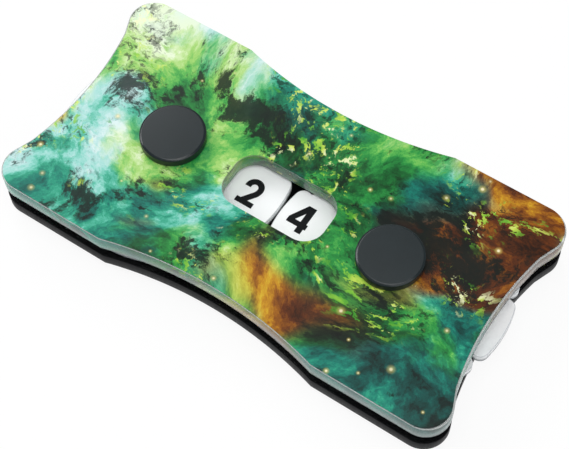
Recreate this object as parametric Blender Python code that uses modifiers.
"""Life counter with two thumb-turned number wheels between a clear top plate and a black back plate.

+X runs from the tens wheel to the units wheel, +Y is up the figures, and +Z comes out of the printed face.
The origin is on the surface that the counter lies on, below its middle. All lengths are in metres.
"""

import math

import bmesh
import bpy
from mathutils import Matrix, Vector

# Driving dimensions
WHEEL_SPACING = 0.0400
WHEEL_GAP = 0.0004
LOBES = 10

# Number wheels
WHEEL_THICKNESS = 0.0016
NOTCH_DEPTH = 0.0018
NOTCH_MOUTH = 0.0007
NOTCH_ROOT = 0.0005
LOBE_CORNER = 0.0015
# At rest the units wheel stands a little past centre, as in the photo
TENS_TURN = 0.0
UNITS_TURN = math.radians(1.0)

# Plates: both have the same outline
TOP_THICKNESS = 0.0030
BACK_THICKNESS = 0.0024
THUMB_REACH = 0.00235
SIDE_COVER = 0.00105
CORNER_RADIUS = 0.0041
WAIST_SPAN = 0.0384
WAIST_DEPTH = 0.00265
END_EDGE = 0.00305
END_HOLLOW = 0.001425
CORNER_LEAN = math.radians(21.8)

# Window in the top plate
WINDOW_LENGTH = 0.0182
WINDOW_WIDTH = 0.0098
WINDOW_CORNER = 0.0036

# Printed sheet, which stops a little short of the plate's edges
SHEET_THICKNESS = 0.00015
SHEET_END_INSET = 0.0003
SHEET_SIDE_INSET = 0.0001

# Binding posts and the screws in them
CAP_RADIUS = 0.0053
CAP_HEIGHT = 0.0016
CAP_BEVEL = 0.0004
BARREL_RADIUS = 0.0025
BORE_RADIUS = 0.0016
BORE_ROOF = 0.0010
HEAD_HEIGHT = 0.0016
TIP_BEVEL = 0.0003
TIP_CLEARANCE = 0.0008
SLOT_WIDTH = 0.0012
SLOT_DEPTH = 0.0008

# Washers
WASHER_RADIUS = 0.0045
WASHER_THICKNESS = 0.00025

# Clearances
SEAT_CLEARANCE = 0.0001
RUN_CLEARANCE = 0.0001
GLUE_CLEARANCE = 0.00005
HOLE_CLEARANCE = 0.0001
THREAD_CLEARANCE = 0.00015
CUT_OVERRUN = 0.0005

# How finely round forms are divided
CIRCLE_STEPS = 64
CORNER_STEPS = 16
WAIST_STEPS = 10
END_STEPS = 8
LOBE_CORNER_STEPS = 6
LOBE_TIP_STEPS = 6
NOTCH_STEPS = 4
MERGE_DISTANCE = 0.000005
SHARP_ANGLE = math.radians(30)

# Heights, stacked up from the surface that the counter lies on
HEAD_TOP = HEAD_HEIGHT
BACK_LOW = HEAD_TOP + SEAT_CLEARANCE
BACK_HIGH = BACK_LOW + BACK_THICKNESS
LOWER_WASHER_LOW = BACK_HIGH + RUN_CLEARANCE
WHEEL_LOW = LOWER_WASHER_LOW + WASHER_THICKNESS + RUN_CLEARANCE
UPPER_WASHER_LOW = WHEEL_LOW + WHEEL_THICKNESS + RUN_CLEARANCE
TOP_LOW = UPPER_WASHER_LOW + WASHER_THICKNESS + RUN_CLEARANCE
SHEET_LOW = TOP_LOW + TOP_THICKNESS + GLUE_CLEARANCE
CAP_LOW = SHEET_LOW + SHEET_THICKNESS + SEAT_CLEARANCE
CAP_HIGH = CAP_LOW + CAP_HEIGHT
BARREL_LOW = HEAD_TOP + SEAT_CLEARANCE
BORE_HIGH = CAP_HIGH - BORE_ROOF
TIP_HIGH = BORE_HIGH - TIP_CLEARANCE

# Sizes that follow from the others
PIVOT_X = WHEEL_SPACING / 2
WHEEL_RADIUS = (WHEEL_SPACING - WHEEL_GAP) / 2
END_MIDDLE = PIVOT_X + WHEEL_RADIUS - THUMB_REACH
END_KNEE_DEPTH = CORNER_RADIUS * (1 - math.cos(CORNER_LEAN)) + END_EDGE * math.sin(CORNER_LEAN)
HALF_LENGTH = END_MIDDLE + END_HOLLOW + END_KNEE_DEPTH
HALF_WIDTH = WHEEL_RADIUS + SIDE_COVER
HOLE_RADIUS = BARREL_RADIUS + HOLE_CLEARANCE
SHANK_RADIUS = BORE_RADIUS - THREAD_CLEARANCE

SIDES = {"left": -PIVOT_X, "right": PIVOT_X}
TURNS = {"left": TENS_TURN, "right": UNITS_TURN}
ORIGIN = Vector((0.0, 0.0))


def clear_scene():
    for item in list(bpy.data.objects):
        bpy.data.objects.remove(item, do_unlink=True)


def new_collection(name):
    collection = bpy.data.collections.new(name)
    bpy.context.scene.collection.children.link(collection)
    return collection


def make_material(name, colour, roughness, metallic=0.0, alpha=1.0):
    material = bpy.data.materials.new(name)
    material.use_nodes = True
    shader = material.node_tree.nodes["Principled BSDF"]
    shader.inputs["Base Color"].default_value = (*colour, 1.0)
    shader.inputs["Roughness"].default_value = roughness
    shader.inputs["Metallic"].default_value = metallic
    shader.inputs["Alpha"].default_value = alpha
    return material


def arc(centre, radius, start, end, steps):
    """Points on an arc from one angle to another, both ends included."""
    turn = (end - start) / steps
    return [centre + radius * Vector((math.cos(start + i * turn), math.sin(start + i * turn)))
            for i in range(steps + 1)]


def circle(centre, radius):
    return arc(centre, radius, 0.0, math.tau, CIRCLE_STEPS)[:-1]


def rounded_rectangle(half_length, half_width, radius):
    points = []
    for quarter, (sign_x, sign_y) in enumerate(((1, 1), (-1, 1), (-1, -1), (1, -1))):
        centre = Vector((sign_x * (half_length - radius), sign_y * (half_width - radius)))
        start = quarter * math.pi / 2
        points += arc(centre, radius, start, start + math.pi / 2, CORNER_STEPS)
    return points


def hollow(half_span, depth, steps):
    """Half of a hollow arc, from its deepest point to its knee: distance along it and rise."""
    radius = (half_span ** 2 + depth ** 2) / (2 * depth)
    reach = math.asin(half_span / radius)
    return [(radius * math.sin(reach * i / steps), radius * (1 - math.cos(reach * i / steps)))
            for i in range(steps + 1)]


def plate_outline(end_inset=0.0, side_inset=0.0):
    """Hollow long sides and ends between four round corners, drawn in by the insets."""
    half_length = HALF_LENGTH - end_inset
    half_width = HALF_WIDTH - side_inset
    radius = CORNER_RADIUS - side_inset
    waist = [Vector((along, half_width - WAIST_DEPTH + rise))
             for along, rise in hollow(WAIST_SPAN / 2, WAIST_DEPTH, WAIST_STEPS)]
    centre = Vector((half_length - radius, half_width - radius))
    corner = arc(centre, radius, -CORNER_LEAN, math.pi / 2, CORNER_STEPS)
    # A straight edge leans in from the corner to the knee where the hollow end starts
    knee = corner[0] - END_EDGE * Vector((math.sin(CORNER_LEAN), math.cos(CORNER_LEAN)))
    end = [Vector((knee.x - END_HOLLOW + rise, along)) for along, rise in hollow(knee.y, END_HOLLOW, END_STEPS)]
    quarter = end + corner + waist[::-1]
    upper = quarter + [Vector((-point.x, point.y)) for point in quarter[-2::-1]]
    return upper + [Vector((point.x, -point.y)) for point in upper[-2:0:-1]]


def wheel_outline(turn_at_rest):
    """Lobes with round corners, parted by tapering notches. Without a turn, one lobe points along +X."""
    pitch = math.tau / LOBES
    root = Vector((WHEEL_RADIUS - NOTCH_DEPTH, NOTCH_ROOT / 2))
    mouth = Vector((WHEEL_RADIUS, NOTCH_MOUTH / 2))
    side = (mouth - root).normalized()
    outward = Vector((-side.y, side.x))
    # The corner's circle touches the notch's side and, from inside, the wheel's rim
    base = root + LOBE_CORNER * outward
    along = base.dot(side)
    centre_radius = WHEEL_RADIUS - LOBE_CORNER
    centre = base + (math.sqrt(along ** 2 - base.length_squared + centre_radius ** 2) - along) * side
    rim_angle = math.atan2(centre.y, centre.x)
    side_angle = math.atan2(-outward.y, -outward.x)
    corner = arc(centre, LOBE_CORNER, side_angle, rim_angle, LOBE_CORNER_STEPS)
    floor = arc(Vector((root.x, 0.0)), root.y, -math.pi / 2, -3 * math.pi / 2, NOTCH_STEPS)
    rim = arc(ORIGIN, WHEEL_RADIUS, rim_angle, pitch - rim_angle, LOBE_TIP_STEPS)[1:-1]
    section = [Vector((point.x, -point.y)) for point in corner[::-1]] + floor + corner + rim
    points = []
    for lobe in range(LOBES):
        turn = Matrix.Rotation((lobe + 0.5) * pitch + turn_at_rest, 2)
        points += [turn @ point for point in section]
    return points


def as_solid(piece, collection):
    """Make a piece's finished shape a plain mesh, with its caps welded and its round sides smooth."""
    collection.objects.link(piece)
    graph = bpy.context.evaluated_depsgraph_get()
    mesh = bpy.data.meshes.new_from_object(piece.evaluated_get(graph))
    shape = bmesh.new()
    shape.from_mesh(mesh)
    bmesh.ops.remove_doubles(shape, verts=shape.verts, dist=MERGE_DISTANCE)
    shape.to_mesh(mesh)
    shape.free()
    mesh.shade_smooth()
    mesh.set_sharp_from_angle(angle=SHARP_ANGLE)
    name = piece.name
    place = piece.matrix_world.copy()
    bpy.data.objects.remove(piece, do_unlink=True)
    solid = bpy.data.objects.new(name, mesh)
    solid.matrix_world = place
    collection.objects.link(solid)
    return solid


def flat_piece(name, loops, low, thickness, material, collection, x=0.0):
    """A sheet cut to the first loop, with the other loops as holes."""
    curve = bpy.data.curves.new(name, "CURVE")
    curve.dimensions = "2D"
    curve.fill_mode = "BOTH"
    curve.extrude = thickness / 2
    for loop in loops:
        spline = curve.splines.new("POLY")
        spline.points.add(len(loop) - 1)
        for target, point in zip(spline.points, loop):
            target.co = (point.x, point.y, 0.0, 1.0)
        spline.use_cyclic_u = True
    curve.materials.append(material)
    piece = bpy.data.objects.new(name, curve)
    piece.location = (x, 0.0, low + thickness / 2)
    return as_solid(piece, collection)


def turned_piece(name, profile, material, x):
    """A profile of radius and height pairs turned about Z, listed down its outer side."""
    mesh = bpy.data.meshes.new(name)
    points = [(radius, 0.0, height) for radius, height in profile]
    mesh.from_pydata(points, [(i, i + 1) for i in range(len(points) - 1)], [])
    mesh.materials.append(material)
    piece = bpy.data.objects.new(name, mesh)
    piece.location.x = x
    screw = piece.modifiers.new("turn", "SCREW")
    screw.axis = "Z"
    screw.steps = CIRCLE_STEPS
    screw.render_steps = CIRCLE_STEPS
    screw.use_merge_vertices = True
    screw.merge_threshold = MERGE_DISTANCE
    return piece


def binding_post(side, material, collection):
    """A flat round cap in one piece with a hollow barrel that reaches down through both plates."""
    profile = [
        (0.0, CAP_HIGH),
        (CAP_RADIUS - CAP_BEVEL, CAP_HIGH),
        (CAP_RADIUS, CAP_HIGH - CAP_BEVEL),
        (CAP_RADIUS, CAP_LOW),
        (BARREL_RADIUS, CAP_LOW),
        (BARREL_RADIUS, BARREL_LOW),
        (BORE_RADIUS, BARREL_LOW),
        (BORE_RADIUS, BORE_HIGH),
        (0.0, BORE_HIGH),
    ]
    return as_solid(turned_piece(f"binding_post_{side}", profile, material, SIDES[side]), collection)


def slot_cutter(side, collection):
    mesh = bpy.data.meshes.new(f"slot_cutter_{side}")
    box = bmesh.new()
    bmesh.ops.create_cube(box, size=1.0)
    size = Vector((SLOT_WIDTH, 2 * (CAP_RADIUS + CUT_OVERRUN), SLOT_DEPTH + CUT_OVERRUN))
    bmesh.ops.scale(box, vec=size, verts=box.verts)
    box.to_mesh(mesh)
    box.free()
    cutter = bpy.data.objects.new(f"slot_cutter_{side}", mesh)
    cutter.location = (SIDES[side], 0.0, (SLOT_DEPTH - CUT_OVERRUN) / 2)
    cutter.hide_render = True
    cutter.display_type = "WIRE"
    collection.objects.link(cutter)
    return cutter


def binding_screw(side, material, collection, cutters):
    """A slotted flat head under the back plate, with a shank up the post's barrel."""
    profile = [
        (0.0, TIP_HIGH),
        (SHANK_RADIUS - TIP_BEVEL, TIP_HIGH),
        (SHANK_RADIUS, TIP_HIGH - TIP_BEVEL),
        (SHANK_RADIUS, HEAD_TOP),
        (CAP_RADIUS, HEAD_TOP),
        (CAP_RADIUS, CAP_BEVEL),
        (CAP_RADIUS - CAP_BEVEL, 0.0),
        (0.0, 0.0),
    ]
    piece = turned_piece(f"binding_screw_{side}", profile, material, SIDES[side])
    cut = piece.modifiers.new("slot", "BOOLEAN")
    cut.operation = "DIFFERENCE"
    cut.solver = "EXACT"
    cut.object = slot_cutter(side, cutters)
    return as_solid(piece, collection)


def main():
    clear_scene()
    parts = new_collection("life_counter")
    cutters = new_collection("cutters")
    clear = make_material("clear_acrylic", (0.80, 0.88, 0.84), 0.08, alpha=0.35)
    printed = make_material("printed_film", (0.10, 0.36, 0.24), 0.35)
    black = make_material("black_acrylic", (0.02, 0.02, 0.022), 0.25)
    white = make_material("white_acrylic", (0.88, 0.90, 0.92), 0.35)
    charcoal = make_material("charcoal_plastic", (0.055, 0.062, 0.067), 0.6)
    nylon = make_material("nylon", (0.72, 0.72, 0.68), 0.5)

    window = rounded_rectangle(WINDOW_LENGTH / 2, WINDOW_WIDTH / 2, WINDOW_CORNER)
    pivot_holes = [circle(Vector((x, 0.0)), HOLE_RADIUS) for x in SIDES.values()]
    flat_piece("back_plate", [plate_outline(), *pivot_holes], BACK_LOW, BACK_THICKNESS, black, parts)
    flat_piece("top_plate", [plate_outline(), window, *pivot_holes], TOP_LOW, TOP_THICKNESS, clear, parts)
    sheet = [plate_outline(SHEET_END_INSET, SHEET_SIDE_INSET), window, *pivot_holes]
    flat_piece("printed_sheet", sheet, SHEET_LOW, SHEET_THICKNESS, printed, parts)

    centre_hole = circle(ORIGIN, HOLE_RADIUS)
    washer = [circle(ORIGIN, WASHER_RADIUS), centre_hole]
    for side, x in SIDES.items():
        wheel = [wheel_outline(TURNS[side]), centre_hole]
        flat_piece(f"lower_washer_{side}", washer, LOWER_WASHER_LOW, WASHER_THICKNESS, nylon, parts, x)
        flat_piece(f"number_wheel_{side}", wheel, WHEEL_LOW, WHEEL_THICKNESS, white, parts, x)
        flat_piece(f"upper_washer_{side}", washer, UPPER_WASHER_LOW, WASHER_THICKNESS, nylon, parts, x)
        binding_post(side, charcoal, parts)
        binding_screw(side, charcoal, parts, cutters)


main()
